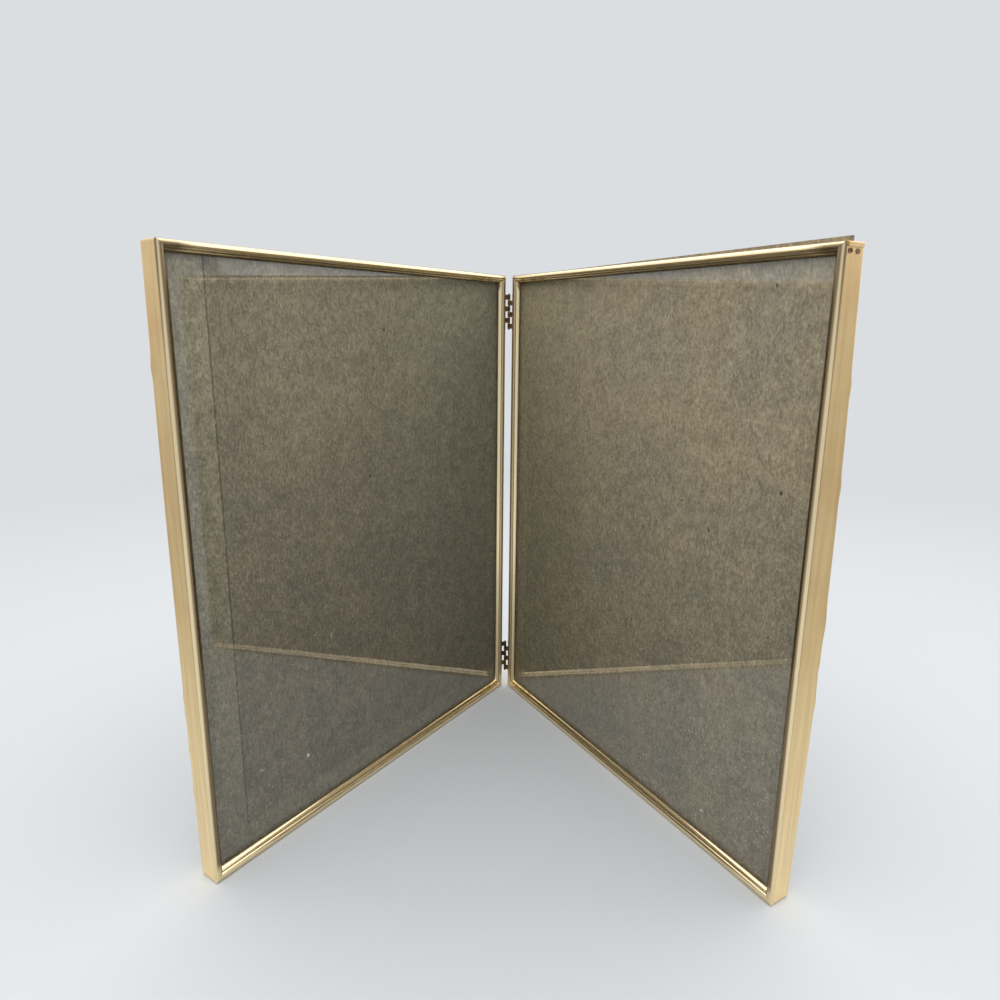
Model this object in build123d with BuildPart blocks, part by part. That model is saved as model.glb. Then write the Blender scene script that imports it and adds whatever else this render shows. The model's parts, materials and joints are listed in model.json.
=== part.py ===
from build123d import *

import os
from math import atan2, cos, degrees, hypot, radians, sin

# Hinged double photo frame: two framed leaves that stand open like a book.
# All sizes are in millimetres. +Z is up, the open side faces -Y, and the origin lies on the
# table under the middle of the frame's box. A place on a leaf is given by u along the leaf
# from its hinge side outwards, d from the front face to the back, and z above the table.

# Leaf sizes, for pictures of 203 x 254 mm (8 x 10 in)
leaf_width = 208.0
leaf_height = 259.0
leaf_depth = 11.0
sheet = 0.5  # thickness of the rolled metal strip
mitre_gap = 0.12  # open line at each mitred corner

# How far the leaves stand open: each one swings this far from the plane between them
half_angle = 33.05

# Rim section: a bead on the face, a curved lip that falls from it to the glass, a flat wall
# and a turned-in back lip
bead_radius = 1.6
bead_sweep = 166.0
lip_inset = 4.45  # from the wall to the lip's inner edge
lip_share = 0.29  # of the leaf depth, from the face back to the lip
lip_bulge = 0.25
lip_tail = 0.1
back_bend_radius = 0.7
back_lip_width = 3.0

# Lap joint where the strip's end is folded over the wall and staked
lap_front = 2.0
lap_drop = 2.8
lap_fold_radius = 0.6
lap_clearance = 0.05
stake_count = 2
stake_inset = 1.2
stake_drop = 1.3
stake_rim_radius = 1.25
stake_hole_radius = 0.5
stake_angle = 120.0

# Glass, insert card and back board, from the front to the back
face_clearance = 0.1
glass_thickness = 2.0
glass_side_clearance = 1.0
pack_top_clearance = 1.8
slide_clearance = 0.3
card_share = 0.325  # of the depth that the card and the board fill
board_gap = 0.1
board_back_clearance = 0.7
card_side_clearance = 0.4
board_side_clearance = 0.6

# Slot in the top wall that the card and the board slide through
slot_end_margin = 1.0
slot_clearance = 0.15

# The right card is cut long and crooked, so its top edge shows above the rim
right_card_hinge_rise = 0.2
right_card_outer_rise = 2.05

# Small butt hinges between the leaves
hinge_gap = 1.9  # from the hinge axis to each leaf's wall
hinge_forward = 0.3  # from the front faces to the hinge axis
hinge_inset = 10.4  # from the top and the bottom of the leaf
hinge_height = 19.8
knuckle_count = 6
knuckle_radius = 0.8
knuckle_gap = 0.35
plate_thickness = 0.4
plate_start = 1.8
plate_length = 6.4
plate_corner_radius = 1.2
pin_radius = 0.4
pin_clearance = 0.03
pin_head_radius = 0.65
pin_head_height = 0.35
pin_head_round = 0.25

# Worked out from the sizes above
bend_level = leaf_depth - back_bend_radius
lap_width = bend_level - lap_front
stake_spacing = lap_width / stake_count
groove_inset = bead_radius * (1 - cos(radians(bead_sweep)))
groove_depth = bead_radius * (1 - sin(radians(bead_sweep)))
lip_depth = leaf_depth * lip_share
glass_front = lip_depth + lip_tail + face_clearance
card_front = glass_front + glass_thickness + slide_clearance
board_back = leaf_depth - sheet - board_back_clearance
card_thickness = (board_back - card_front - board_gap) * card_share
board_front = card_front + card_thickness + board_gap
board_thickness = board_back - board_front
pack_height = leaf_height - 2 * sheet - pack_top_clearance
slot_length = leaf_width - 2 * slot_end_margin
knuckle_pitch = hinge_height / knuckle_count
lower_hinge_bottom = hinge_inset
upper_hinge_bottom = leaf_height - hinge_inset - hinge_height

turn = radians(half_angle)
up = Vector(0, 0, 1)

# The hinge axis is placed so that the frame's box is centred on the origin
bend_reach = sin(turn) * (hinge_forward + bend_level) - cos(turn) * (hinge_gap + back_bend_radius)
lap_reach = sin(turn) * (hinge_forward + bend_level) - cos(turn) * (hinge_gap - sheet)
rearmost = max(bend_reach + back_bend_radius, lap_reach)
foremost = (
    sin(turn) * (hinge_forward + bead_radius)
    - cos(turn) * (hinge_gap + leaf_width - bead_radius)
    - bead_radius
)
hinge_axis_y = -(rearmost + foremost) / 2

left, right = -1, 1
leaf_names = {left: "left", right: "right"}


def outward(side):
    """Direction along a leaf, from the hinge to its outer edge."""
    return Vector(side * sin(turn), -cos(turn), 0)


def backward(side):
    """Direction from a leaf's face to its back."""
    return Vector(side * cos(turn), sin(turn), 0)


def place(side, u, d, z):
    """A point of a leaf, from its distances u, d and z."""
    axis_foot = Vector(0, hinge_axis_y, 0)
    along_leaf = outward(side) * (hinge_gap + u)
    into_leaf = backward(side) * (hinge_forward + d)
    return axis_foot + along_leaf + into_leaf + up * z


def plan(side, z):
    """Level plane at height z, with its origin on the hinge axis and its x along the leaf."""
    return Plane(origin=(0, hinge_axis_y, z), x_dir=outward(side), z_dir=up)


def on_plan(side, u, d):
    """A leaf's u and d as a point of its level plane."""
    return (hinge_gap + u, side * (hinge_forward + d))


# Rim rails
def rail_section(plane):
    """Section of the rolled strip: x runs in from the wall, y from the face to the back."""
    groove = (groove_inset, groove_depth)
    lip_edge = (lip_inset, lip_depth)
    with BuildSketch(plane) as section:
        with BuildLine():
            Line((back_lip_width, leaf_depth), (back_bend_radius, leaf_depth))
            CenterArc((back_bend_radius, bend_level), back_bend_radius, 90, 90)
            Line((0, bend_level), (0, bead_radius))
            CenterArc((bead_radius, bead_radius), bead_radius, 180, bead_sweep)
            SagittaArc(groove, lip_edge, -lip_bulge)
            Line(lip_edge, (lip_inset, lip_depth + lip_tail))
            offset(amount=sheet, side=Side.LEFT)
        make_face()
    return section.sketch


def mitred_rail(side, first, second, inward):
    """One rail of a leaf's rim between two outer corners of its face, mitred at both ends."""
    along = inward.cross(backward(side))
    if (second - first).dot(along) < 0:
        first, second = second, first
    with BuildPart() as rail:
        extrude(rail_section(Plane(origin=first, x_dir=inward, z_dir=along)), amount=(second - first).length)
        start = first + along * (mitre_gap / 2)
        end = second - along * (mitre_gap / 2)
        split(bisect_by=Plane(origin=start, z_dir=along - inward), keep=Keep.TOP)
        split(bisect_by=Plane(origin=end, z_dir=-along - inward), keep=Keep.TOP)
    return rail.part


def lap_side(side):
    """The lap is at the right-hand upper corner of both leaves: its u, and the way it faces."""
    return (leaf_width, outward(side)) if side == right else (0, -outward(side))


def top_rail(side):
    """Top rail with its slot, and the strip's end folded down over the stile's wall."""
    inward = -up
    lap_u, lap_way = lap_side(side)
    lap_origin = place(side, lap_u, lap_front, leaf_height)
    lap_normal = lap_way.cross(up)
    slot_front = card_front - slot_clearance
    slot_back = board_back + slot_clearance
    with BuildPart() as rail:
        corner_a = place(side, 0, 0, leaf_height)
        corner_b = place(side, leaf_width, 0, leaf_height)
        add(mitred_rail(side, corner_a, corner_b, inward))
        with BuildSketch(Plane(origin=lap_origin, x_dir=lap_way, z_dir=lap_normal)):
            with BuildLine():
                FilletPolyline((-slot_end_margin, 0), (sheet, 0), (sheet, -lap_drop), radius=lap_fold_radius)
                offset(amount=sheet, side=Side.RIGHT)
            make_face()
        extrude(amount=lap_width * (1 if lap_normal.dot(backward(side)) > 0 else -1))
        with BuildSketch(plan(side, leaf_height)):
            with Locations(on_plan(side, leaf_width / 2, (slot_front + slot_back) / 2)):
                Rectangle(slot_length, slot_back - slot_front)
        extrude(amount=-lip_inset, mode=Mode.SUBTRACT)
    return rail


def bottom_rail(side):
    """Plain bottom rail: the leaf stands on its wall."""
    with BuildPart() as rail:
        add(mitred_rail(side, place(side, 0, 0, 0), place(side, leaf_width, 0, 0), up))
    return rail


def stile(side, u, inward):
    """Upright rail at u. The one at the lap is cut away for it and has the stake marks."""
    lap_u, lap_way = lap_side(side)
    with BuildPart() as rail:
        add(mitred_rail(side, place(side, u, 0, 0), place(side, u, 0, leaf_height), inward))
        if u == lap_u:
            with BuildSketch(plan(side, leaf_height)):
                with Locations(on_plan(side, u, lap_front + lap_width / 2)):
                    Rectangle(2 * (sheet + lap_clearance), lap_width + 2 * lap_clearance)
            extrude(amount=-(sheet + lap_clearance), mode=Mode.SUBTRACT)
            for number in range(stake_count):
                stake_d = lap_front + stake_inset + number * stake_spacing
                stake = place(side, u, stake_d, leaf_height - lap_drop - stake_drop)
                with Locations(Plane(origin=stake, x_dir=up, z_dir=lap_way)):
                    CounterSinkHole(stake_hole_radius, stake_rim_radius, 2 * sheet, stake_angle)
    return rail


# Glass, insert card and back board
def sheet_piece(side, front, width, height_at_hinge, height_at_outer, thickness):
    """Flat sheet that stands on the bottom rail's wall, centred in the leaf."""
    corner = place(side, (leaf_width - width) / 2, front, sheet)
    outline = [(0, 0), (width, 0), (width, height_at_outer), (0, height_at_hinge)]
    with BuildPart() as piece:
        with BuildSketch(Plane(origin=corner, x_dir=outward(side), z_dir=outward(side).cross(up))):
            Polygon(*outline, align=None)
        extrude(amount=-side * thickness)
    return piece


def glass(side):
    width = leaf_width - 2 * (sheet + glass_side_clearance)
    return sheet_piece(side, glass_front, width, pack_height, pack_height, glass_thickness)


def insert_card(side):
    """Chipboard behind the glass. The right one stands proud of the rim."""
    width = slot_length - 2 * card_side_clearance
    if side == left:
        return sheet_piece(side, card_front, width, pack_height, pack_height, card_thickness)
    hinge_end = leaf_height - sheet + right_card_hinge_rise
    outer_end = leaf_height - sheet + right_card_outer_rise
    return sheet_piece(side, card_front, width, hinge_end, outer_end, card_thickness)


def back_board(side):
    width = slot_length - 2 * board_side_clearance
    return sheet_piece(side, board_front, width, pack_height, pack_height, board_thickness)


# Hinges
def hinge_plate(side, bottom):
    """Plate on a leaf's wall with its arms and every other knuckle. The left leaf has the top one."""
    wing_u = -plate_thickness / 2
    wing_point = on_plan(side, wing_u, plate_start)
    arm_length = hypot(*wing_point)
    arm_angle = degrees(atan2(wing_point[1], wing_point[0]))
    first_knuckle = 0 if side == right else 1
    with BuildPart() as plate:
        with BuildSketch(plan(side, bottom)):
            with Locations(on_plan(side, wing_u, plate_start + plate_length / 2)):
                Rectangle(plate_thickness, plate_length)
        extrude(amount=hinge_height)
        across = plate.edges().filter_by(lambda edge: abs(edge.tangent_at(0).dot(outward(side))) > 0.99)
        back_corners = across.sort_by(lambda edge: edge.center().dot(backward(side)))[-2:]
        fillet(back_corners, radius=plate_corner_radius)
        for number in range(first_knuckle, knuckle_count, 2):
            with BuildSketch(plan(side, bottom + number * knuckle_pitch + knuckle_gap / 2)):
                Circle(knuckle_radius)
                with Locations(Location((wing_point[0] / 2, wing_point[1] / 2), arm_angle)):
                    SlotCenterToCenter(arm_length, plate_thickness)
            extrude(amount=knuckle_pitch - knuckle_gap)
        with BuildSketch(plan(side, bottom)):
            Circle(pin_radius + pin_clearance)
        extrude(amount=hinge_height, mode=Mode.SUBTRACT)
    return plate


def hinge_pin(bottom):
    """Pin with a peened head at each end."""
    with BuildPart() as pin:
        with BuildSketch(Plane(origin=(0, hinge_axis_y, bottom), z_dir=up)):
            Circle(pin_radius)
        extrude(amount=hinge_height)
        for level, way in ((bottom, -1), (bottom + hinge_height, 1)):
            with BuildSketch(Plane(origin=(0, hinge_axis_y, level), z_dir=up)):
                Circle(pin_head_radius)
            extrude(amount=way * pin_head_height)
        fillet(pin.faces().sort_by(Axis.Z)[0].edges(), radius=pin_head_round)
        fillet(pin.faces().sort_by(Axis.Z)[-1].edges(), radius=pin_head_round)
    return pin


def save(piece, name):
    piece.part.label = name
    export_step(piece.part, f"parts/{name}.step")


os.makedirs("parts", exist_ok=True)

for side, leaf in leaf_names.items():
    save(top_rail(side), f"{leaf}_top_rail")
    save(bottom_rail(side), f"{leaf}_bottom_rail")
    save(stile(side, leaf_width, -outward(side)), f"{leaf}_outer_stile")
    save(stile(side, 0, outward(side)), f"{leaf}_hinge_stile")
    save(glass(side), f"{leaf}_glass")
    save(insert_card(side), f"{leaf}_insert_card")
    save(back_board(side), f"{leaf}_back_board")

for hinge, bottom in (("upper", upper_hinge_bottom), ("lower", lower_hinge_bottom)):
    for side, leaf in leaf_names.items():
        save(hinge_plate(side, bottom), f"{hinge}_hinge_{leaf}_plate")
    save(hinge_pin(bottom), f"{hinge}_hinge_pin")

print("hinge axis y", round(hinge_axis_y, 4))
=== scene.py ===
import json
import math

import bmesh
import bpy
from mathutils import Matrix, Vector, noise


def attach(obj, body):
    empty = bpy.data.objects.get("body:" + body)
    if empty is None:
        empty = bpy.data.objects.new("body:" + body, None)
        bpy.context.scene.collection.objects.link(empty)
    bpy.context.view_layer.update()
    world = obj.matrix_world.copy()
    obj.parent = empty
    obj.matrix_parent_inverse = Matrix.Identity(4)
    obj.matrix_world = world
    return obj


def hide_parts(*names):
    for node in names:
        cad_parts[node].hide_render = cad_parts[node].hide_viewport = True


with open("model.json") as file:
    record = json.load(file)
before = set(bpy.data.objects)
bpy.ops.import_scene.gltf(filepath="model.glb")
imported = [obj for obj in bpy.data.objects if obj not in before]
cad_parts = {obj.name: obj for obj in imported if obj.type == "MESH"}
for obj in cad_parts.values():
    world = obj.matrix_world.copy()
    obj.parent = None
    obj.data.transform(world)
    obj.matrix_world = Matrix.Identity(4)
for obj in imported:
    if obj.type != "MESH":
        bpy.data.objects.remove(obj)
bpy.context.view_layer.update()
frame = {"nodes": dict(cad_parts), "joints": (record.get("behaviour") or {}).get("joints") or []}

mm = 0.001
left, right = -1, 1
leafNames = {left: "left", right: "right"}

# Leaf sizes in mm, and each leaf's turn from the plane between the two in degrees. A place on a
# leaf is u along it from the hinge side, d from its face to the back, z up
leaf = {
    "width": 208.0,
    "height": 259.0,
    "depth": 11.0,
    "halfAngle": 33.05,
    "hingeGap": 1.9,
    "hingeForward": 0.3,
}
hinge = next(joint for joint in frame["joints"] if joint["name"] == "hinge_fold")
hingeAxis = Vector(hinge["pos_m"])


def leafMatrix(side):
    # From a leaf's own u, d, z in mm to the frame in metres
    turn = math.radians(leaf["halfAngle"])
    outward = Vector((side * math.sin(turn), -math.cos(turn), 0))
    backward = Vector((side * math.cos(turn), math.sin(turn), 0))
    foot = Vector((0, hingeAxis.y, 0))
    foot += (outward * leaf["hingeGap"] + backward * leaf["hingeForward"]) * mm
    matrix = Matrix.Identity(4)
    matrix.col[0][:3] = outward * mm
    matrix.col[1][:3] = backward * mm
    matrix.col[2][:3] = Vector((0, 0, mm))
    matrix.translation = foot
    return matrix


# Materials. The numbers of a Mix node's sockets when it mixes colours
mixFactor, mixFirst, mixSecond, mixColour = 0, 6, 7, 2


def linearColour(code):
    # From an sRGB hex value to linear light
    channels = [int(code[i:i + 2], 16) / 255 for i in (1, 3, 5)]
    return [c / 12.92 if c <= 0.04045 else ((c + 0.055) / 1.055) ** 2.4 for c in channels] + [1.0]


def addNode(tree, kind, settings):
    # A setting is another node's output, a value for an input or one of the node's own options
    node = tree.nodes.new("ShaderNode" + kind)
    for name, value in settings.items():
        if isinstance(value, bpy.types.NodeSocket):
            tree.links.new(value, node.inputs[name])
        elif isinstance(name, int) or name in node.inputs:
            node.inputs[name].default_value = value
        else:
            setattr(node, name, value)
    return node


def newMaterial(name):
    material = bpy.data.materials.new(name)
    material.use_nodes = True
    material.node_tree.nodes.clear()
    return material, material.node_tree


# Brass-plated steel strip, roll-formed and lacquered: the flat wall keeps the mill's fine
# lengthwise lines and reads satin, and the bead is burnished by the forming rolls and mirrors what
# is round it. Dull brown tarnish lies in the groove. The same brown is painted shade along the
# lip's edge, and painted dark reflection on the top rails' lips, the inner side of the outer
# stiles' beads and, thinly, the hinge stiles' beads, but not on the bottom rails. Towards the foot
# the wall is paler, a painted reflection of the pale floor. Sizes in mm
rolledBrass = {
    "wallColour": "#DBBF8C",
    "warmColour": "#D0AD7B",
    "paintedFloorReflectionColour": "#FFE4B0",
    "beadColour": "#F3DEB3",
    "tarnishAndPaintedShadeColour": "#553E1B",
    "brightness": 0.98,
    "wallRoughness": 0.36,
    "beadRoughness": 0.11,
    "tarnishAndPaintedShadeRoughness": 0.14,
    "fineStreakWidth": 0.3,
    "broadStreakWidth": 1.7,
    "broadStreakWeight": 1.4,
    "streakLength": 60.0,
    "patchSize": 26.0,
    "detail": 3.0,
    "seamCore": 0.1,
    "footSeam": -0.5,
    "bumpStrength": 0.25,
    "bumpHeight": 0.02,
}
# Where each feature fades in. Heights, and places from the open side to the hinges, are in metres.
# Places across the strip are in mm from the groove: bead from 0 to -4.64, then the wall, and the
# lip from 0 to 2.5 on the other side
brassFades = {
    "wall": {"From Min": -4.4, "From Max": -4.9},
    "warmPatch": {"From Min": 0.42, "From Max": 0.75},
    "foot": {"From Min": 125.0 * mm, "From Max": 0.0},
    "streakDepth": {"To Min": 0.02, "To Max": 0.11},
    "streakShade": {"From Min": 0.8, "From Max": 1.6, "To Min": -1.0, "To Max": 1.0},
    "topCorner": {"From Min": 205.0 * mm, "From Max": 254.0 * mm},
    "seamMiddle": {"To Min": -4.65, "To Max": -4.15},
    "seamReach": {"To Min": 0.42, "To Max": 0.85},
    "seamStrength": {"To Min": 0.5, "To Max": 0.85},
    "groove": {"From Min": 0.32, "From Max": 0.1, "To Max": 0.9},
    "aboveFoot": {"From Min": 5.0 * mm, "From Max": 9.0 * mm},
    "lipStart": {"From Min": 250.0 * mm, "From Max": 253.0 * mm, "To Min": 1.55, "To Max": 0.5},
    "lip": {"From Max": 0.8, "To Max": 0.85},
    "outerStile": {"From Min": -78.0 * mm, "From Max": -84.0 * mm, "To Max": 0.78},
    "flank": {"From Min": -3.3, "From Max": -2.6},
    "hingeStile": {"From Min": 79.0 * mm, "From Max": 81.5 * mm, "To Max": 0.55},
    "hingeBead": {"From Min": -0.1, "From Max": -0.4},
    "roughness": {"From Min": 0.3, "From Max": 0.7, "To Min": 0.88, "To Max": 1.14},
}


def brassSeam(tree, across, height, foot):
    # The brown line where the bead turns into the wall: wide and dark near the top corners, gone at
    # the foot
    nearCorner = addNode(tree, "MapRange", {
        "Value": height, **brassFades["topCorner"]}).outputs["Result"]
    middle, reach = (addNode(tree, "MapRange", {
        "Value": nearCorner, **brassFades[fade]}).outputs["Result"]
        for fade in ("seamMiddle", "seamReach"))
    offset = addNode(tree, "Math", {"operation": "SUBTRACT", 0: across, 1: middle}).outputs[0]
    fromSeam = addNode(tree, "Math", {"operation": "ABSOLUTE", 0: offset}).outputs[0]
    onSeam = addNode(tree, "MapRange", {
        "Value": fromSeam, "From Min": reach,
        "From Max": rolledBrass["seamCore"]}).outputs["Result"]
    strength = addNode(tree, "MapRange", {
        "Value": nearCorner, **brassFades["seamStrength"]}).outputs["Result"]
    faded = addNode(tree, "Math", {
        "operation": "MULTIPLY_ADD", 0: foot, 1: rolledBrass["footSeam"], 2: strength}).outputs[0]
    return addNode(tree, "Math", {"operation": "MULTIPLY", 0: onSeam, 1: faded}).outputs[0]


def brassTarnishAndPaintedShade(tree, across, height, objectPlace, seam):
    # How dark and dull the strip is: tarnish in the groove and on the seam, and painted shade and
    # reflection on the lip, the flank and the hinge bead
    away = addNode(tree, "Math", {"operation": "ABSOLUTE", 0: across}).outputs[0]
    tarnishAndPaintedShade = addNode(tree, "MapRange", {"Value": away, **brassFades["groove"]}).outputs["Result"]
    aboveFoot = addNode(tree, "MapRange", {
        "Value": height, **brassFades["aboveFoot"]}).outputs["Result"]
    # The lip's edge is darkened as painted shade, and the top rails' lips, the outer stiles' flank
    # and the hinge stiles' bead as painted reflection of the dark cards. None of it low down on the
    # bottom rails
    lipStart = addNode(tree, "MapRange", {
        "Value": height, **brassFades["lipStart"]}).outputs["Result"]
    offset = addNode(tree, "Math", {"operation": "SUBTRACT", 0: across, 1: lipStart}).outputs[0]
    paintedShadeAndReflection = addNode(tree, "MapRange", {"Value": offset, **brassFades["lip"]}).outputs["Result"]
    towardsHinge = addNode(tree, "SeparateXYZ", {"Vector": objectPlace}).outputs["Y"]
    onOuterStile = addNode(tree, "MapRange", {
        "Value": towardsHinge, **brassFades["outerStile"]}).outputs["Result"]
    onFlank = addNode(tree, "MapRange", {
        "Value": across, **brassFades["flank"], "To Max": onOuterStile}).outputs["Result"]
    onHingeStile = addNode(tree, "MapRange", {
        "Value": towardsHinge, **brassFades["hingeStile"]}).outputs["Result"]
    onHingeBead = addNode(tree, "MapRange", {
        "Value": across, **brassFades["hingeBead"], "To Max": onHingeStile}).outputs["Result"]
    for other in (onFlank, onHingeBead):
        paintedShadeAndReflection = addNode(tree, "Math", {"operation": "MAXIMUM", 0: paintedShadeAndReflection, 1: other}).outputs[0]
    paintedShadeAndReflection = addNode(tree, "Math", {"operation": "MULTIPLY", 0: paintedShadeAndReflection, 1: aboveFoot}).outputs[0]
    for other in (paintedShadeAndReflection, seam):
        tarnishAndPaintedShade = addNode(tree, "Math", {"operation": "MAXIMUM", 0: tarnishAndPaintedShade, 1: other}).outputs[0]
    return tarnishAndPaintedShade


def makeRolledBrass():
    material, tree = newMaterial("rolledLacqueredBrass")
    uv = addNode(tree, "UVMap", {"uv_map": "rolled"}).outputs["UV"]
    across = addNode(tree, "SeparateXYZ", {"Vector": uv}).outputs["Y"]
    streaks = []
    for width in (rolledBrass["fineStreakWidth"], rolledBrass["broadStreakWidth"]):
        laid = addNode(tree, "Mapping", {
            "Vector": uv, "Scale": (1 / rolledBrass["streakLength"], 1 / width, 1.0)})
        streaks.append(addNode(tree, "TexNoise", {
            "Vector": laid.outputs["Vector"], "Scale": 1.0,
            "Detail": rolledBrass["detail"]}).outputs["Fac"])
    fine, broad = streaks
    objectPlace = addNode(tree, "TexCoord", {}).outputs["Object"]
    patches = addNode(tree, "TexNoise", {
        "Vector": objectPlace, "Scale": 1 / (rolledBrass["patchSize"] * mm),
        "Detail": rolledBrass["detail"]}).outputs["Fac"]
    height = addNode(tree, "SeparateXYZ", {"Vector": objectPlace}).outputs["Z"]
    onWall = addNode(tree, "MapRange", {"Value": across, **brassFades["wall"]}).outputs["Result"]
    warm = addNode(tree, "MapRange", {
        "Value": patches, **brassFades["warmPatch"]}).outputs["Result"]
    foot = addNode(tree, "MapRange", {"Value": height, **brassFades["foot"]}).outputs["Result"]
    colour = addNode(tree, "Mix", {
        "data_type": "RGBA", mixFactor: warm, mixFirst: linearColour(rolledBrass["wallColour"]),
        mixSecond: linearColour(rolledBrass["warmColour"])}).outputs[mixColour]
    # Paler towards the foot: painted reflection of the pale floor
    colour = addNode(tree, "Mix", {
        "data_type": "RGBA", mixFactor: foot, mixFirst: colour,
        mixSecond: linearColour(rolledBrass["paintedFloorReflectionColour"])}).outputs[mixColour]
    colour = addNode(tree, "Mix", {
        "data_type": "RGBA", mixFactor: onWall, mixFirst: linearColour(rolledBrass["beadColour"]),
        mixSecond: colour}).outputs[mixColour]
    # The streaks fade out on the bead, where the rolls have burnished them away
    drawn = addNode(tree, "MapRange", {
        "Value": onWall, **brassFades["streakDepth"]}).outputs["Result"]
    both = addNode(tree, "Math", {
        "operation": "MULTIPLY_ADD", 0: broad, 1: rolledBrass["broadStreakWeight"],
        2: fine}).outputs[0]
    spread = addNode(tree, "MapRange", {
        "Value": both, **brassFades["streakShade"]}).outputs["Result"]
    shade = addNode(tree, "Math", {
        "operation": "MULTIPLY_ADD", 0: spread, 1: drawn, 2: rolledBrass["brightness"]}).outputs[0]
    colour = addNode(tree, "VectorMath", {
        "operation": "SCALE", 0: colour, "Scale": shade}).outputs["Vector"]
    seam = brassSeam(tree, across, height, foot)
    # Tarnish, with painted shade and painted reflection, darkens and dulls the strip
    tarnishAndPaintedShade = brassTarnishAndPaintedShade(tree, across, height, objectPlace, seam)
    colour = addNode(tree, "Mix", {
        "data_type": "RGBA", mixFactor: tarnishAndPaintedShade, mixFirst: colour,
        mixSecond: linearColour(rolledBrass["tarnishAndPaintedShadeColour"])}).outputs[mixColour]
    smooth = addNode(tree, "MapRange", {
        "Value": onWall, "To Min": rolledBrass["beadRoughness"],
        "To Max": rolledBrass["wallRoughness"]}).outputs["Result"]
    uneven = addNode(tree, "MapRange", {"Value": fine, **brassFades["roughness"]}).outputs["Result"]
    baseAmount = addNode(tree, "Math", {"operation": "MULTIPLY", 0: smooth, 1: uneven}).outputs[0]
    roughness = addNode(tree, "Math", {
        "operation": "MULTIPLY_ADD", 0: tarnishAndPaintedShade, 1: rolledBrass["tarnishAndPaintedShadeRoughness"],
        2: baseAmount}).outputs[0]
    raised = addNode(tree, "Math", {"operation": "MULTIPLY", 0: both, 1: onWall}).outputs[0]
    bump = addNode(tree, "Bump", {
        "Height": raised, "Strength": rolledBrass["bumpStrength"],
        "Distance": rolledBrass["bumpHeight"] * mm}).outputs["Normal"]
    shader = addNode(tree, "BsdfPrincipled", {
        "Metallic": 1.0, "Base Color": colour, "Roughness": roughness, "Normal": bump})
    addNode(tree, "OutputMaterial", {"Surface": shader.outputs["BSDF"]})
    return material


# Old brass gone dull: brown patches over what is left of the bright metal, as in the hinges'
# knuckles. In the punch marks the brown is partly tarnish, where the punch has broken the lacquer,
# and partly painted shade in the pits. A pair of values is for bright and dull metal
tarnishedBrass = {
    "stampedHingeBrass": {
        "colours": ("#7E6033", "#3B2A14"), "roughness": (0.34, 0.59), "patchSize": 2.4},
    "punchPitShadedBrass": {
        "colours": ("#A5896A", "#4E3822"), "roughness": (0.4, 0.65), "patchSize": 0.9},
}
dullPatches = {
    "fade": {"From Min": 0.34, "From Max": 0.68},
    "detail": 4.0,
    "bumpStrength": 0.4,
    "bumpHeight": 0.05,
}


def makeTarnishedBrass(name):
    material, tree = newMaterial(name)
    finish = tarnishedBrass[name]
    bright, dull = (linearColour(code) for code in finish["colours"])
    brightRoughness, dullRoughness = finish["roughness"]
    objectPlace = addNode(tree, "TexCoord", {}).outputs["Object"]
    patches = addNode(tree, "TexNoise", {
        "Vector": objectPlace, "Scale": 1 / (finish["patchSize"] * mm),
        "Detail": dullPatches["detail"]}).outputs["Fac"]
    onPatch = addNode(tree, "MapRange", {"Value": patches, **dullPatches["fade"]}).outputs["Result"]
    colour = addNode(tree, "Mix", {
        "data_type": "RGBA", mixFactor: onPatch, mixFirst: bright,
        mixSecond: dull}).outputs[mixColour]
    roughness = addNode(tree, "MapRange", {
        "Value": onPatch, "To Min": brightRoughness, "To Max": dullRoughness}).outputs["Result"]
    bump = addNode(tree, "Bump", {
        "Height": patches, "Strength": dullPatches["bumpStrength"],
        "Distance": dullPatches["bumpHeight"] * mm}).outputs["Normal"]
    shader = addNode(tree, "BsdfPrincipled", {
        "Metallic": 1.0, "Base Color": colour, "Roughness": roughness, "Normal": bump})
    addNode(tree, "OutputMaterial", {"Surface": shader.outputs["BSDF"]})
    return material


# Clear soda-lime float glass: both faces mirror the other leaf faintly, and lamps light the card
# through it
windowGlass = {"colour": "#FBFCFB", "ior": 1.46, "roughness": 0.002}


def makeWindowGlass():
    material, tree = newMaterial("floatGlass")
    clear = addNode(tree, "BsdfPrincipled", {
        "Base Color": linearColour(windowGlass["colour"]), "Transmission Weight": 1.0,
        "IOR": windowGlass["ior"], "Roughness": windowGlass["roughness"]}).outputs["BSDF"]
    through = addNode(tree, "BsdfTransparent", {}).outputs["BSDF"]
    lampRay = addNode(tree, "LightPath", {}).outputs["Is Shadow Ray"]
    pane = addNode(tree, "MixShader", {0: lampRay, 1: clear, 2: through}).outputs["Shader"]
    addNode(tree, "OutputMaterial", {"Surface": pane})
    return material


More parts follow.
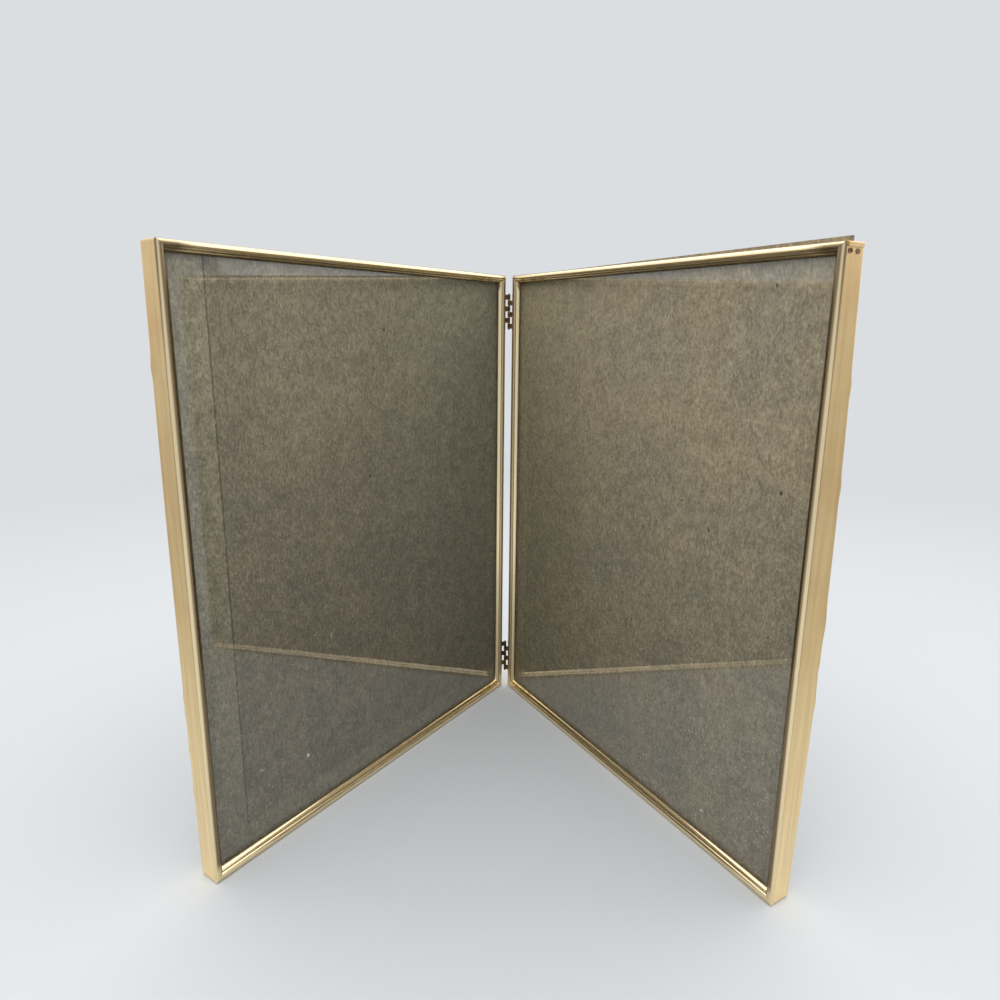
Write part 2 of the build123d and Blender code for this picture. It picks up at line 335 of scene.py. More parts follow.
# Recycled chipboard: grey-brown pulp with cloudy patches, a grain of short upright fibres, pale
# grit and dark bark flecks. Sizes in mm. Each grain is its size, its depth and its scale upwards.
# The finest is drawn at 0.6 mm and a fibre at 0.34 by 3 mm, because what is finer does not show
chipboard = {
    "roughness": 0.85,
    "specularLevel": 0.25,
    "bumpStrength": 0.5,
    "bumpHeight": 0.06,
    "cloudSize": 42.0,
    "cloudDetail": 4.0,
    "mottleSize": 7.0,
    "mottleDetail": 3.0,
    "grains": ((2.6, 0.12, 0.7), (1.1, 0.165, 0.5), (0.6, 0.25, 0.6)),
    "grainDetail": 1.5,
    "fibres": {"spacing": 1.36, "radius": 0.238, "share": 0.15, "stretch": 3.0 / 0.34},
    "fibreTurns": (-0.5, 0.12, 0.9, 1.6),
    "fibreStrength": 0.28,
    "fibreColour": "#C9BFA6",
    "grit": {"spacing": 3.3, "radius": 0.33, "share": 0.12},
    "sand": {"spacing": 1.9, "radius": 0.42},
    "gritColour": "#BFB498",
    "speckCore": 0.6,
    "wobbleSize": 0.625,
    "wobbleDetail": 2.0,
    "wobble": 0.7,
    "markDepth": 1000.0,
}
# Where its features fade in: by places on the leaf in mm, by the noise's own value, or from the
# edge of a mark to its middle
boardFades = {
    "cloud": {"From Min": 0.36, "From Max": 0.62},
    "hingeSide": {"From Min": 110.0, "From Max": 20.0},
    "paintedShadeFootToTop": {"From Min": 0.0, "From Max": leaf["height"], "To Min": 0.8, "To Max": 1.24},
    "mottle": {"From Min": 0.3, "From Max": 0.7, "To Min": 0.87, "To Max": 1.13},
    "grain": {"From Min": 0.3, "From Max": 0.7},
    "rubbed": {"From Min": 120.0, "From Max": 50.0},
    "mark": {"From Min": 1.1, "From Max": 0.7, "To Max": 0.9},
}
# Each board's two cloud colours and its colour near the hinge, and its share of sand. On the insert
# cards the colour near the hinge is painted light and shade, set to how the fold is lit, and the
# right card's colours are lighter than the left's, partly as painted light falling more on the
# right leaf
boards = {
    "left_insert_card": {"colours": ("#8D826D", "#827967", "#8B8470"), "sandShare": 0.03},
    "right_insert_card": {"colours": ("#968970", "#89806D", "#8E8369"), "sandShare": 0.13},
    "left_back_board": {"colours": ("#83785F", "#786F5B", "#736A57"), "sandShare": 0.03},
    "right_back_board": {"colours": ("#83785F", "#786F5B", "#736A57"), "sandShare": 0.03},
}
# Marks seen on each card: u, z, half width, half height in mm, turn in degrees and colour
darkMark, paleMark, whiteMark = "#2E2A23", "#D6CDB8", "#FAF8F2"
cardMarks = {
    "left_insert_card": (
        (96.1, 228.1, 0.7, 0.9, 0, darkMark), (103.5, 210.1, 0.6, 0.8, 20, darkMark),
        (108.1, 158.3, 0.7, 0.8, 0, darkMark), (53.4, 110.5, 0.5, 0.9, 10, darkMark),
        (154.3, 30.1, 0.9, 0.9, 0, whiteMark), (139.7, 100.6, 0.25, 1.5, -50, paleMark),
        (136.9, 85.3, 0.25, 1.7, 8, paleMark), (146.4, 88.9, 0.4, 0.6, 0, paleMark),
        (122.6, 90.0, 0.35, 0.5, 0, paleMark), (152.0, 74.4, 0.4, 0.5, 0, paleMark),
        (179.5, 36.4, 0.25, 1.4, 60, paleMark),
    ),
    "right_insert_card": (
        (190.0, 169.4, 0.75, 1.1, 15, darkMark), (156.1, 146.1, 0.5, 0.7, 0, darkMark),
        (139.7, 155.5, 0.5, 0.6, 0, darkMark), (111.2, 88.0, 0.45, 1.0, 10, darkMark),
        (93.0, 79.5, 0.6, 0.6, 0, darkMark), (179.4, 246.2, 0.6, 0.8, 0, darkMark),
        (130.6, 94.9, 0.4, 0.4, 0, darkMark), (164.6, 14.3, 0.8, 0.7, 0, paleMark),
        (120.0, 48.0, 0.4, 0.5, 0, paleMark),
    ),
}
# The left card is paler beside and below where a smaller picture once lay, with a dark line along
# its edge
ghostMark = {
    "card": "left_insert_card",
    "edge": 188.4,
    "edgeBlur": 0.3,
    "bottom": 14.8,
    "bottomBlur": 0.5,
    "marginColour": "#938A74",
    "lineColour": "#3E3A31",
    "lineWidth": 0.5,
    "lineCore": 0.25,
    "lineStrength": 0.6,
}


def scatterSpecks(tree, place, spacing, radius, share, stretch=1.0, turn=0.0, dimensions="2D"):
    # Small marks, one in some of the cells of a Voronoi pattern
    laid = addNode(tree, "Mapping", {
        "Vector": place, "Rotation": (0.0, turn, 0.0), "Scale": (1.0, 1.0, 1 / stretch)})
    cells = addNode(tree, "TexVoronoi", {
        "voronoi_dimensions": dimensions, "Vector": laid.outputs["Vector"], "Scale": 1 / spacing})
    near = addNode(tree, "MapRange", {
        "Value": cells.outputs["Distance"], "From Min": radius / spacing,
        "From Max": radius / spacing * chipboard["speckCore"]}).outputs["Result"]
    pick = addNode(tree, "SeparateXYZ", {"Vector": cells.outputs["Color"]}).outputs["X"]
    chosen = addNode(tree, "Math", {"operation": "LESS_THAN", 0: pick, 1: share}).outputs[0]
    return addNode(tree, "Math", {"operation": "MULTIPLY", 0: near, 1: chosen}).outputs[0]


def ghostMargin(tree, u, z, colour):
    edge, edgeBlur = ghostMark["edge"], ghostMark["edgeBlur"]
    bottom, bottomBlur = ghostMark["bottom"], ghostMark["bottomBlur"]
    beside = addNode(tree, "MapRange", {
        "Value": u, "From Min": edge - edgeBlur, "From Max": edge + edgeBlur}).outputs["Result"]
    below = addNode(tree, "MapRange", {
        "Value": z, "From Min": bottom + bottomBlur,
        "From Max": bottom - bottomBlur}).outputs["Result"]
    margin = addNode(tree, "Math", {"operation": "MAXIMUM", 0: beside, 1: below}).outputs[0]
    colour = addNode(tree, "Mix", {
        "data_type": "RGBA", mixFactor: margin, mixFirst: colour,
        mixSecond: linearColour(ghostMark["marginColour"])}).outputs[mixColour]
    offset = addNode(tree, "Math", {"operation": "SUBTRACT", 0: u, 1: edge}).outputs[0]
    away = addNode(tree, "Math", {"operation": "ABSOLUTE", 0: offset}).outputs[0]
    onLine = addNode(tree, "MapRange", {
        "Value": away, "From Min": ghostMark["lineWidth"], "From Max": ghostMark["lineCore"],
        "To Max": ghostMark["lineStrength"]}).outputs["Result"]
    above = addNode(tree, "Math", {"operation": "SUBTRACT", 0: 1.0, 1: below}).outputs[0]
    line = addNode(tree, "Math", {"operation": "MULTIPLY", 0: onLine, 1: above}).outputs[0]
    return addNode(tree, "Mix", {
        "data_type": "RGBA", mixFactor: line, mixFirst: colour,
        mixSecond: linearColour(ghostMark["lineColour"])}).outputs[mixColour]


def boardColour(tree, node, place, u, z):
    # Two cloud colours, a third near the hinge that on the insert cards is painted light and shade,
    # and the ghost of a picture on one card
    first, second, hingeSide = (linearColour(code) for code in boards[node]["colours"])
    clouds = addNode(tree, "TexNoise", {
        "Vector": place, "Scale": 1 / chipboard["cloudSize"],
        "Detail": chipboard["cloudDetail"]}).outputs["Fac"]
    cloudy = addNode(tree, "MapRange", {"Value": clouds, **boardFades["cloud"]}).outputs["Result"]
    colour = addNode(tree, "Mix", {
        "data_type": "RGBA", mixFactor: cloudy, mixFirst: first,
        mixSecond: second}).outputs[mixColour]
    nearHinge = addNode(tree, "MapRange", {"Value": u, **boardFades["hingeSide"]}).outputs["Result"]
    colour = addNode(tree, "Mix", {
        "data_type": "RGBA", mixFactor: nearHinge, mixFirst: colour,
        mixSecond: hingeSide}).outputs[mixColour]
    if node == ghostMark["card"]:
        colour = ghostMargin(tree, u, z, colour)
    # Painted shade: the board is darker towards its foot and lighter towards its top
    baseAmount = addNode(tree, "MapRange", {"Value": z, **boardFades["paintedShadeFootToTop"]}).outputs["Result"]
    return addNode(tree, "VectorMath", {
        "operation": "SCALE", 0: colour, "Scale": baseAmount}).outputs["Vector"]


def boardGrain(tree, place):
    # How light the board is at each point, and how high
    mottle = addNode(tree, "TexNoise", {
        "Vector": place, "Scale": 1 / chipboard["mottleSize"],
        "Detail": chipboard["mottleDetail"]}).outputs["Fac"]
    shade = addNode(tree, "MapRange", {"Value": mottle, **boardFades["mottle"]}).outputs["Result"]
    for size, depth, upright in chipboard["grains"]:
        laid = addNode(tree, "Mapping", {
            "Vector": place, "Scale": (1.0, 1.0, upright)}).outputs["Vector"]
        grain = addNode(tree, "TexNoise", {
            "Vector": laid, "Scale": 1 / size, "Detail": chipboard["grainDetail"]}).outputs["Fac"]
        lift = addNode(tree, "MapRange", {
            "Value": grain, **boardFades["grain"], "To Min": 1 - depth,
            "To Max": 1 + depth}).outputs["Result"]
        shade = addNode(tree, "Math", {"operation": "MULTIPLY", 0: shade, 1: lift}).outputs[0]
    return shade


def addFibres(tree, place, colour):
    for turn in chipboard["fibreTurns"]:
        fibres = scatterSpecks(tree, place, **chipboard["fibres"], turn=turn, dimensions="3D")
        faint = addNode(tree, "Math", {
            "operation": "MULTIPLY", 0: fibres, 1: chipboard["fibreStrength"]}).outputs[0]
        colour = addNode(tree, "Mix", {
            "data_type": "RGBA", mixFactor: faint, mixFirst: colour,
            mixSecond: linearColour(chipboard["fibreColour"])}).outputs[mixColour]
    return colour


def addGrit(tree, node, u, z, colour):
    # Coarse grit all over, and sand low down, where the boards have been rubbed
    flat = addNode(tree, "CombineXYZ", {"X": u, "Y": z}).outputs["Vector"]
    grit = scatterSpecks(tree, flat, **chipboard["grit"])
    sand = scatterSpecks(tree, flat, **chipboard["sand"], share=boards[node]["sandShare"])
    rubbed = addNode(tree, "MapRange", {"Value": z, **boardFades["rubbed"]}).outputs["Result"]
    sand = addNode(tree, "Math", {"operation": "MULTIPLY", 0: sand, 1: rubbed}).outputs[0]
    specks = addNode(tree, "Math", {"operation": "MAXIMUM", 0: grit, 1: sand}).outputs[0]
    return addNode(tree, "Mix", {
        "data_type": "RGBA", mixFactor: specks, mixFirst: colour,
        mixSecond: linearColour(chipboard["gritColour"])}).outputs[mixColour]


def addCardMarks(tree, node, place, colour):
    # A wobble roughens the marks' outlines. Half of it is a shift, which their places make up for
    wobble = chipboard["wobble"]
    uneven = addNode(tree, "TexNoise", {
        "Vector": place, "Scale": 1 / chipboard["wobbleSize"],
        "Detail": chipboard["wobbleDetail"]}).outputs["Color"]
    loose = addNode(tree, "VectorMath", {
        "operation": "MULTIPLY_ADD", 0: uneven, 1: (wobble, 0.0, wobble),
        2: place}).outputs["Vector"]
    for markU, markZ, halfWidth, halfHeight, turn, code in cardMarks.get(node, ()):
        # A mark goes right through the board, so that only its distance on the face counts
        onMark = addNode(tree, "Mapping", {
            "vector_type": "TEXTURE", "Vector": loose,
            "Location": (markU + wobble / 2, 0.0, markZ + wobble / 2),
            "Rotation": (0.0, math.radians(turn), 0.0),
            "Scale": (halfWidth, chipboard["markDepth"], halfHeight)}).outputs["Vector"]
        away = addNode(tree, "VectorMath", {"operation": "LENGTH", 0: onMark}).outputs["Value"]
        inside = addNode(tree, "MapRange", {"Value": away, **boardFades["mark"]}).outputs["Result"]
        colour = addNode(tree, "Mix", {
            "data_type": "RGBA", mixFactor: inside, mixFirst: colour,
            mixSecond: linearColour(code)}).outputs[mixColour]
    return colour


def makeChipboard(node, side):
    material, tree = newMaterial(node + "_chipboard")
    matrix = leafMatrix(side)
    outward = matrix.col[0].to_3d()
    objectPlace = addNode(tree, "TexCoord", {}).outputs["Object"]
    # Object coordinates turned to the leaf's own u, d and z in mm
    place = addNode(tree, "Mapping", {
        "vector_type": "TEXTURE", "Vector": objectPlace, "Location": matrix.translation,
        "Rotation": (0.0, 0.0, math.atan2(outward.y, outward.x)),
        "Scale": (mm, mm, mm)}).outputs["Vector"]
    parted = addNode(tree, "SeparateXYZ", {"Vector": place})
    u, z = parted.outputs["X"], parted.outputs["Z"]
    colour = boardColour(tree, node, place, u, z)
    grain = boardGrain(tree, place)
    colour = addNode(tree, "VectorMath", {
        "operation": "SCALE", 0: colour, "Scale": grain}).outputs["Vector"]
    colour = addFibres(tree, place, colour)
    colour = addGrit(tree, node, u, z, colour)
    colour = addCardMarks(tree, node, place, colour)
    bump = addNode(tree, "Bump", {
        "Height": grain, "Strength": chipboard["bumpStrength"],
        "Distance": chipboard["bumpHeight"] * mm}).outputs["Normal"]
    shader = addNode(tree, "BsdfPrincipled", {
        "Roughness": chipboard["roughness"], "Specular IOR Level": chipboard["specularLevel"],
        "Base Color": colour, "Normal": bump})
    addNode(tree, "OutputMaterial", {"Surface": shader.outputs["BSDF"]})
    return material


rolledMetal = makeRolledBrass()
hingeMetal = makeTarnishedBrass("stampedHingeBrass")
punchPitShadeMetal = makeTarnishedBrass("punchPitShadedBrass")
paneGlass = makeWindowGlass()
print("materials made")

# Rims, rolled again with smooth beads. A rail's own x runs in from the wall, y from the face to the
# back, and its z along the rail. Sizes in mm, turns in degrees
rim = {
    "beadRadius": 1.6,
    "beadSweep": 166.0,
    "beadSteps": 18,
    "lipEdge": (4.45, 3.19),
    "lipBulge": 0.25,
    "lipTail": 0.1,
    "lipSteps": 7,
    "backBend": 0.7,
    "backLip": 3.0,
    "backSteps": 2,
    "bendSteps": 6,
    "wallSteps": 4,
    "sheet": 0.5,
    "mitreGap": 0.06,
    "slotFront": 5.54,
    "slotBack": 9.95,
    "slotEnd": 1.0,
    "stepAlong": 2.0,
    "sharpAngle": 32.0,
    "cutWeld": 1e-5,
    "wallFlatness": 0.01,
}
# The corner that the wall folds round, in fine steps, from behind the bead to the turned-in back
corner = {
    "radius": 1.1,
    "step": 0.14,
    "steps": 14,
    "start": 1.0,
    "run": 1.6,
    "inward": 3.0,
}
# The slow waves that a rolled strip keeps, gone at its ends and half as high on its face
waves = {
    "height": 0.025,
    "length": 38.0,
    "width": 9.0,
    "endFade": 12.0,
    "faceShare": 0.5,
}
# The strip's end, lapped over the corner, and the two punch marks under it
lap = {
    "front": 2.0,
    "back": 10.3,
    "drop": 1.75,
    "fold": 0.6,
    "overlap": 1.0,
    "lift": 0.02,
    "foldSteps": 6,
    "dropSteps": 3,
    "backSteps": 6,
}
stakes = {
    "rails": ("left_hinge_stile", "right_outer_stile"),
    "places": (3.4, 7.5),
    "height": 255.85,
    "halfWidth": 1.5,
    "halfHeight": 1.1,
    "floor": 0.4,
    "depth": 0.42,
    "rim": 0.1,
    "rimReach": 1.2,
    "rimSpread": 0.2,
    "fineReach": 2.9,
    "fineCuts": 7,
    "wallDepth": 0.3,
    "pitShadeDepth": 1.6,
    "pitShadeReach": 0.95,
}
# How far in from the wall its bow, dents and swellings reach, and where swellings start across it
wallMarks = {"reach": 1.0, "bumpStart": 7.0, "bumpRun": 4.0}
# How far the back of a wall stands out halfway along, where no corner holds it
wallBows = {"left_outer_stile": 0.85, "right_outer_stile": 2.3}
# Dents by hand: where along the rail and across the wall, how far they spread and how deep they are
dentsOf = {
    "left_outer_stile": [
        {"at": 104.2, "middle": 6.5, "spread": 1.6, "width": 4.5, "depth": 0.17, "ripple": 1.4},
    ],
    "right_outer_stile": [
        {"at": 103.5, "middle": 6.5, "spread": 4.5, "width": 9.0, "depth": 0.17, "ripple": 3.6},
        {"at": 101.0, "middle": 9.5, "spread": 3.0, "width": 4.0, "depth": 0.22, "ripple": 1.0},
    ],
}
# Swellings of the wall's back edge: where along the rail, how high and how long
bumpsOf = {
    "left_outer_stile": [
        (214.9, 0.45, 3.0), (83.2, 0.4, 2.5), (76.6, 0.35, 2.5), (60.5, 0.35, 2.5),
        (40.3, 0.3, 3.0)],
    "right_outer_stile": [
        (211.6, 0.4, 3.0), (175.6, 0.4, 3.0), (122.8, 0.45, 6.0), (90.0, 0.4, 3.0)],
}
# Each rail's length, and the turn that lays it in its leaf
railPlans = {
    "top_rail": ("width", Matrix((
        (0, 0, 1, 0), (0, 1, 0, 0), (-1, 0, 0, leaf["height"]), (0, 0, 0, 1)))),
    "bottom_rail": ("width", Matrix(((0, 0, 1, 0), (0, 1, 0, 0), (1, 0, 0, 0), (0, 0, 0, 1)))),
    "outer_stile": ("height", Matrix((
        (-1, 0, 0, leaf["width"]), (0, 1, 0, 0), (0, 0, 1, 0), (0, 0, 0, 1)))),
    "hinge_stile": ("height", Matrix.Identity(4)),
}


def drawLine(bm, vert, end, parts=1):
    start, end = vert.co.copy(), Vector(end)
    for part in range(1, parts + 1):
        vert = bmesh.ops.extrude_vert_indiv(bm, verts=[vert])["verts"][0]
        vert.co = start.lerp(end, part / parts)
    return vert


def drawArc(bm, vert, centre, angle, steps, axis=(0, 0, 1)):
    made = bmesh.ops.spin(bm, geom=[vert], cent=centre, axis=axis, dvec=(0, 0, 0),
                          angle=math.radians(angle), steps=steps, use_merge=False,
                          use_duplicate=False)
    return next(item for item in made["geom_last"] if isinstance(item, bmesh.types.BMVert))


def drawSweep(bm, edges, travel, steps):
    made = bmesh.ops.spin(bm, geom=edges, cent=(0, 0, 0), axis=(0, 0, 1),
                          dvec=[run / steps for run in travel], angle=0, steps=steps,
                          use_merge=False, use_duplicate=False)
    return [item for item in made["geom_last"] if isinstance(item, bmesh.types.BMEdge)]


def rolledSection(bm):
    # The layer "strip" keeps each point's place across the strip, in mm from the groove, for the
    # material
    strip = bm.verts.layers.float.new("strip")
    depth, bend, bead = leaf["depth"], rim["backBend"], rim["beadRadius"]
    vert = bm.verts.new((rim["backLip"], depth, 0))
    vert = drawLine(bm, vert, (bend, depth, 0), rim["backSteps"])
    vert = drawArc(bm, vert, (bend, depth - bend, 0), 90, rim["bendSteps"])
    vert = drawLine(bm, vert, (0, rim["slotBack"], 0))
    vert = drawLine(bm, vert, (0, rim["slotFront"], 0), rim["wallSteps"])
    vert = drawLine(bm, vert, (0, bead, 0), rim["wallSteps"])
    groove = drawArc(bm, vert, (bead, bead, 0), rim["beadSweep"], rim["beadSteps"])
    chord = Vector((*rim["lipEdge"], 0)) - groove.co
    radius = (chord.length ** 2 / 4 + rim["lipBulge"] ** 2) / (2 * rim["lipBulge"])
    inward = Vector((-chord.y, chord.x, 0)).normalized()
    centre = groove.co + chord / 2 + inward * (radius - rim["lipBulge"])
    sweep = 2 * math.degrees(math.asin(chord.length / 2 / radius))
    vert = drawArc(bm, groove, centre, sweep, rim["lipSteps"])
    drawLine(bm, vert, vert.co + Vector((0, rim["lipTail"], 0)))
    place = 0.0
    outline = bm.verts[:]
    for before, vert in zip(outline, outline[1:]):
        place += (vert.co - before.co).length
        vert[strip] = place
    middle = groove[strip]
    for vert in outline:
        vert[strip] -= middle


def drawAlong(bm, length):
    # Short steps near the ends, where the wall turns the corner
    fine = corner["step"] * corner["steps"]
    plain = length - 2 * fine
    edges = bm.edges[:]
    for run, steps in ((fine, corner["steps"]), (plain, round(plain / rim["stepAlong"])),
                       (fine, corner["steps"])):
        edges = drawSweep(bm, edges, (0, 0, run), steps)


def bendStrip(bm, length, seed, bow, dents, bumps):
    # The folded corners, the slow waves, which the seed picks, and the wall's bow, dents and
    # swellings
    radius, wallReach = corner["radius"], wallMarks["reach"]
    for vert in bm.verts:
        x, y, along = vert.co
        fromEnd = max(0.0, min(along, length - along))
        wave = noise.noise(Vector((along / waves["length"], y / waves["width"], seed)))
        wave *= waves["height"]
        wave *= min(1.0, fromEnd / waves["endFade"])
        onFace = wave * waves["faceShare"] if y < rim["beadRadius"] else 0.0
        shift = Vector((wave, onFace, 0))
        reach = max(0.0, radius - fromEnd)
        behindBead = max(0.0, min(1.0, (y - corner["start"]) / corner["run"]))
        onWall = max(0.0, 1.0 - x / corner["inward"])
        shift.x += (radius - math.sqrt(radius ** 2 - reach ** 2)) * behindBead * onWall
        if x < wallReach or y > leaf["depth"] - wallReach:
            outTurned = (y - rim["beadRadius"]) / (leaf["depth"] - rim["beadRadius"])
            alongShare = min(1.0, max(0.0, along / length))
            shift.x -= bow * max(0.0, outTurned) * math.sin(math.pi * alongShare)
        if x < wallReach:
            for dent in dents:
                gap = (along - dent["at"]) / dent["spread"]
                across = (y - dent["middle"]) / dent["width"]
                pressed = math.exp(-gap ** 2 - across ** 2) * math.cos(gap * dent["ripple"])
                shift.x += dent["depth"] * pressed
            for place, height, spread in bumps:
                back = max(0.0, (y - wallMarks["bumpStart"]) / wallMarks["bumpRun"])
                shift.x -= height * back * math.exp(-((along - place) / spread) ** 2)
        vert.co += shift


def cutEnd(bm, point, normal):
    cut = bmesh.ops.bisect_plane(bm, geom=bm.verts[:] + bm.edges[:] + bm.faces[:],
                                 dist=rim["cutWeld"], plane_co=point, plane_no=normal,
                                 clear_outer=True)
    edges = [item for item in cut["geom_cut"] if isinstance(item, bmesh.types.BMEdge)]
    bmesh.ops.contextual_create(bm, geom=edges)


def cutSlot(bm, length):
    # The slot in the top wall, through which the card and the board slide in
    first, last = rim["slotEnd"], length - rim["slotEnd"]
    for end in (first, last):
        wall = [face for face in bm.faces if face.calc_center_median().x < rim["wallFlatness"]]
        geom = wall + list({edge for face in wall for edge in face.edges}) + list(
            {vert for face in wall for vert in face.verts})
        bmesh.ops.bisect_plane(bm, geom=geom, dist=rim["cutWeld"], plane_co=(0, 0, end),
                               plane_no=(0, 0, 1))
    opening = []
    for face in bm.faces:
        x, y, along = face.calc_center_median()
        if (x < rim["wallFlatness"] and rim["slotFront"] < y < rim["slotBack"]
                and first < along < last):
            opening.append(face)
    bmesh.ops.delete(bm, geom=opening, context="FACES")


def stakeReach(point, place):
    # 1 at the edge of a punch mark, 0 in its middle
    return math.hypot((point.y - place) / stakes["halfWidth"],
                      (point.z - stakes["height"]) / stakes["halfHeight"])


def nearStakes(point):
    return (abs(point.x) <= stakes["wallDepth"]
            and abs(point.z - stakes["height"]) <= stakes["fineReach"])


def pressStakes(bm):
    # The punch marks under the lap: oval pits with a lip raised on the lower side
    front = rim["beadRadius"] - rim["wallFlatness"]
    back = rim["slotBack"] + rim["wallFlatness"]
    edges = [edge for edge in bm.edges if all(
        nearStakes(vert.co) and front < vert.co.y < back for vert in edge.verts)]
    bmesh.ops.subdivide_edges(bm, edges=edges, cuts=stakes["fineCuts"], use_grid_fill=True)
    for vert in bm.verts:
        if not nearStakes(vert.co):
            continue
        for place in stakes["places"]:
            reach = stakeReach(vert.co, place)
            pit = max(0.0, min(1.0, (1 - reach) / (1 - stakes["floor"])))
            vert.co.x += stakes["depth"] * pit * pit * (3 - 2 * pit)
            if vert.co.z < stakes["height"]:
                fromRim = (reach - stakes["rimReach"]) / stakes["rimSpread"]
                vert.co.x -= stakes["rim"] * math.exp(-fromRim ** 2)


def foldLap(bm, side):
    # The strip's end, folded over the corner and down the wall. It is a shell of its own in the top
    # rail's mesh
    strip = bm.verts.layers.float["strip"]
    oldVerts, oldFaces = set(bm.verts), set(bm.faces)
    front, fold = lap["front"], lap["fold"]
    top, outer = -lap["lift"], leaf["width"] + rim["sheet"]
    vert = bm.verts.new((top, front, leaf["width"] - lap["overlap"]))
    vert = drawLine(bm, vert, (top, front, outer - fold))
    vert = drawArc(bm, vert, (top + fold, front, outer - fold), 90, lap["foldSteps"],
                   axis=(0, 1, 0))
    drawLine(bm, vert, (lap["drop"], front, outer), lap["dropSteps"])
    edges = [edge for edge in bm.edges if edge.verts[0] not in oldVerts]
    drawSweep(bm, edges, (0, lap["back"] - front, 0), lap["backSteps"])
    for vert in bm.verts:
        if vert not in oldVerts:
            vert[strip] = brassFades["wall"]["From Max"] - vert.co.y
            if side == left:
                vert.co.z = leaf["width"] - vert.co.z
    return [face for face in bm.faces if face not in oldFaces]


def thicken(bm, faces):
    bmesh.ops.recalc_face_normals(bm, faces=faces)
    bmesh.ops.solidify(bm, geom=faces, thickness=rim["sheet"])


def shadeRolled(bm):
    for face in bm.faces:
        face.smooth = True
    for edge in bm.edges:
        if (len(edge.link_faces) == 2
                and edge.calc_face_angle(0.0) > math.radians(rim["sharpAngle"])):
            edge.smooth = False


def addRolledMap(bm):
    # Along the strip and across it. The lap's streaks turn down the wall with it
    strip = bm.verts.layers.float["strip"]
    layer = bm.loops.layers.uv.new("rolled")
    for face in bm.faces:
        for loop in face.loops:
            loop[layer].uv = (loop.vert.co.z + loop.vert.co.x, loop.vert[strip])


def isPunched(point):
    return point.x < stakes["pitShadeDepth"] and any(
        stakeReach(point, place) < stakes["pitShadeReach"] for place in stakes["places"])


def buildRail(side, rail):
    name = leafNames[side] + "_" + rail
    span, plan = railPlans[rail]
    length = leaf[span]
    staked = name in stakes["rails"]
    bm = bmesh.new()
    rolledSection(bm)
    drawAlong(bm, length)
    if rail == "top_rail":
        cutSlot(bm, length)
    bendStrip(bm, length, len(name) + side, wallBows.get(name, 0.0), dentsOf.get(name, []),
              bumpsOf.get(name, []))
    if staked:
        pressStakes(bm)
    thicken(bm, bm.faces[:])
    half = rim["mitreGap"] / 2
    cutEnd(bm, (0, 0, half), (1, 0, -1))
    cutEnd(bm, (0, 0, length - half), (1, 0, 1))
    if rail == "top_rail":
        thicken(bm, foldLap(bm, side))
    addRolledMap(bm)
    for face in bm.faces:
        # The middles of the punch marks take the dark punched brass: partly tarnish, partly painted
        # shade in the pits
        face.material_index = int(staked and isPunched(face.calc_center_median()))
    shadeRolled(bm)
    bmesh.ops.transform(bm, matrix=leafMatrix(side) @ plan, verts=bm.verts)
    bmesh.ops.recalc_face_normals(bm, faces=bm.faces)
    mesh = bpy.data.meshes.new(name + "_rolled")
    bm.to_mesh(mesh)
    bm.free()
    mesh.materials.append(rolledMetal)
    mesh.materials.append(punchPitShadeMetal)
    piece = bpy.data.objects.new(name + "_rolled", mesh)
    bpy.context.collection.objects.link(piece)
    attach(piece, leafNames[side] + "_leaf")
    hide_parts(name)
    return piece


for side in leafNames:
    for rail in railPlans:
        piece = buildRail(side, rail)
        print(piece.name, len(piece.data.polygons), "faces")


def paint(node, material):
    mesh = frame["nodes"][node].data
    mesh.materials.clear()
    mesh.materials.append(material)


for side, name in leafNames.items():
    paint(name + "_glass", paneGlass)
    for board in ("_insert_card", "_back_board"):
        paint(name + board, makeChipboard(name + board, side))
for hinge in ("upper", "lower"):
    for part in ("left_plate", "right_plate", "pin"):
        paint(hinge + "_hinge_" + part, hingeMetal)
print("frame painted")

# Studio, in metres and watts. The floor fades out before its edge, in shares of its radius
studio = {
    "floorRadius": 2.2,
    "floorSegments": 96,
    "floorDrop": 0.0002,
    "fadeStart": 0.12,
    "fadeEnd": 0.45,
    "floorColour": "#DEE1E3",
    "backColour": "#DBDEE1",
    "worldStrength": 0.5,
    "aimHeight": 0.12,
}
softboxes = {
    "topSoftbox": {"place": (0.0, 0.0, 0.95), "size": (2.0, 1.8), "energy": 13.6},
    "leftSoftbox": {"place": (-1.0, 0.3, 0.55), "size": (0.8, 1.0), "energy": 1.0},
    "rightSoftbox": {"place": (1.0, 0.3, 0.55), "size": (0.8, 1.0), "energy": 2.0},
    "frontFill": {"place": (-0.35, -1.0, 0.8), "size": (0.8, 0.6), "energy": 2.0},
}


def makeFloor():
    radius = studio["floorRadius"]
    bm = bmesh.new()
    bmesh.ops.create_circle(bm, cap_ends=True, segments=studio["floorSegments"], radius=radius)
    mesh = bpy.data.meshes.new("studioFloor")
    bm.to_mesh(mesh)
    bm.free()
    floor = bpy.data.objects.new("studioFloor", mesh)
    floor.location.z = -studio["floorDrop"]
    bpy.context.collection.objects.link(floor)
    material, tree = newMaterial("paleFloor")
    place = addNode(tree, "TexCoord", {}).outputs["Object"]
    away = addNode(tree, "VectorMath", {"operation": "LENGTH", 0: place}).outputs["Value"]
    edge = addNode(tree, "MapRange", {
        "Value": away, "From Min": radius * studio["fadeStart"],
        "From Max": radius * studio["fadeEnd"]}).outputs["Result"]
    pale = addNode(tree, "BsdfDiffuse", {
        "Color": linearColour(studio["floorColour"])}).outputs["BSDF"]
    clear = addNode(tree, "BsdfTransparent", {}).outputs["BSDF"]
    faded = addNode(tree, "MixShader", {0: edge, 1: pale, 2: clear}).outputs["Shader"]
    addNode(tree, "OutputMaterial", {"Surface": faded})
    mesh.materials.append(material)


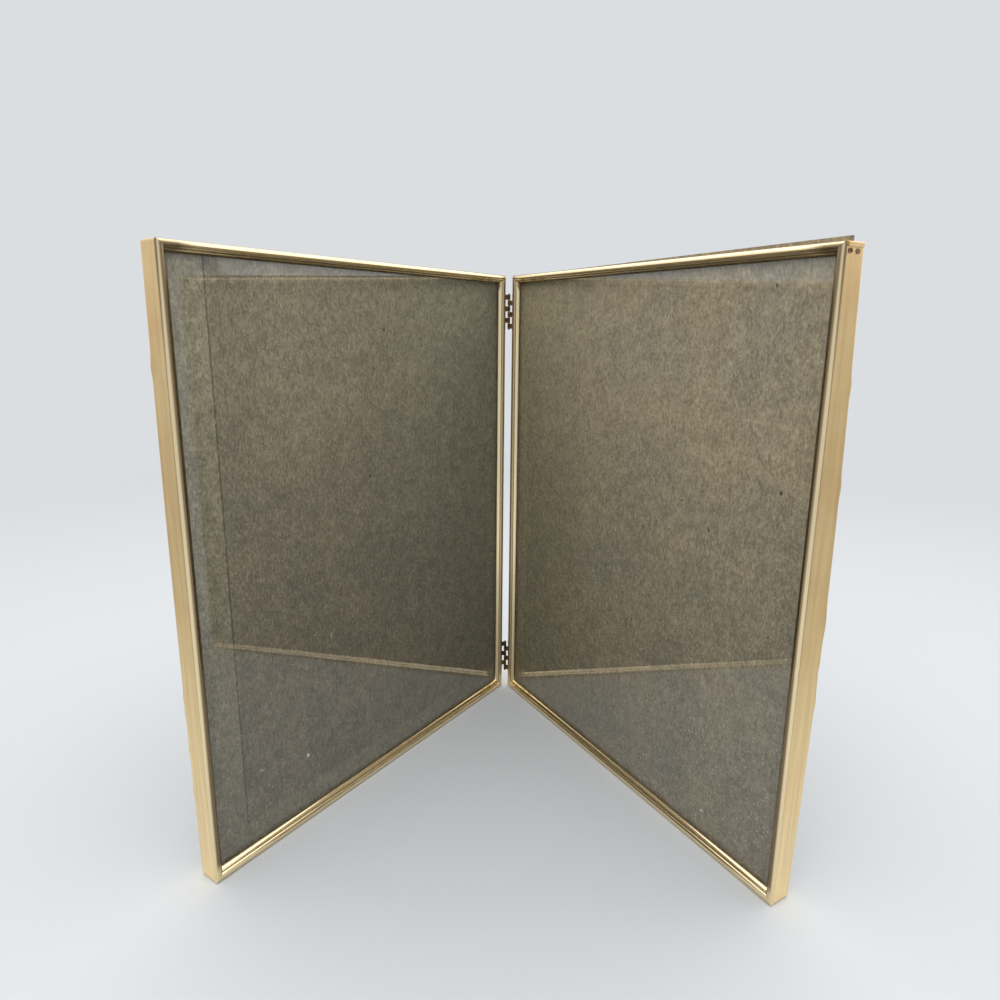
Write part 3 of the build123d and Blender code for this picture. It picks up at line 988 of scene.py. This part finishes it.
def addLight(name, place, size, energy):
    data = bpy.data.lights.new(name, "AREA")
    data.shape = "RECTANGLE"
    data.size, data.size_y = size
    data.energy = energy
    light = bpy.data.objects.new(name, data)
    light.location = place
    aim = Vector((0, 0, studio["aimHeight"])) - Vector(place)
    light.rotation_euler = aim.to_track_quat("-Z", "Y").to_euler()
    bpy.context.collection.objects.link(light)


def makeWorld():
    # The pale backdrop is there for what is seen directly, mirrored or through glass. It gives no
    # other light
    world = bpy.data.worlds.new("studioWorld")
    bpy.context.scene.world = world
    world.use_nodes = True
    tree = world.node_tree
    tree.nodes.clear()
    path = addNode(tree, "LightPath", {})
    seen = path.outputs["Is Camera Ray"]
    for ray in ("Is Glossy Ray", "Is Transmission Ray"):
        seen = addNode(tree, "Math", {
            "operation": "MAXIMUM", 0: seen, 1: path.outputs[ray]}).outputs[0]
    strength = addNode(tree, "MapRange", {
        "Value": seen, "To Min": studio["worldStrength"]}).outputs["Result"]
    back = addNode(tree, "Background", {
        "Color": linearColour(studio["backColour"]), "Strength": strength})
    addNode(tree, "OutputWorld", {"Surface": back.outputs["Background"]})


makeFloor()
makeWorld()
for name, softbox in softboxes.items():
    addLight(name, **softbox)
print("studio set")

# Camera, from a fit to the corners of the two leaves: place and sensor in mm, focal length and
# centre in pixels, turns in degrees
view = {
    "place": (12.41, -333.79, 230.57),
    "focal": 695.37,
    "pictureWidth": 1000,
    "sensor": 36.0,
    "pitch": 12.6726,
    "roll": 0.5456,
    "yaw": -2.2025,
    "centre": (0.97, -17.72),
    "clipStart": 0.01,
}


def makeCamera():
    pitch, roll, yaw = (math.radians(view[turn]) for turn in ("pitch", "roll", "yaw"))
    ahead = Vector((math.sin(yaw) * math.cos(pitch), math.cos(yaw) * math.cos(pitch),
                    -math.sin(pitch)))
    level = Vector((math.cos(yaw), -math.sin(yaw), 0))
    upward = level.cross(ahead)
    across = level * math.cos(roll) + upward * math.sin(roll)
    above = upward * math.cos(roll) - level * math.sin(roll)
    data = bpy.data.cameras.new("photoCamera")
    data.sensor_width = view["sensor"]
    data.lens = view["focal"] * view["sensor"] / view["pictureWidth"]
    data.shift_x = -view["centre"][0] / view["pictureWidth"]
    data.shift_y = view["centre"][1] / view["pictureWidth"]
    data.clip_start = view["clipStart"]
    camera = bpy.data.objects.new("photoCamera", data)
    turn = Matrix((across, above, -ahead)).transposed()
    camera.matrix_world = Matrix.Translation(Vector(view["place"]) * mm) @ turn.to_4x4()
    bpy.context.collection.objects.link(camera)
    bpy.context.scene.camera = camera


makeCamera()
bpy.context.scene.view_settings.view_transform = "Standard"
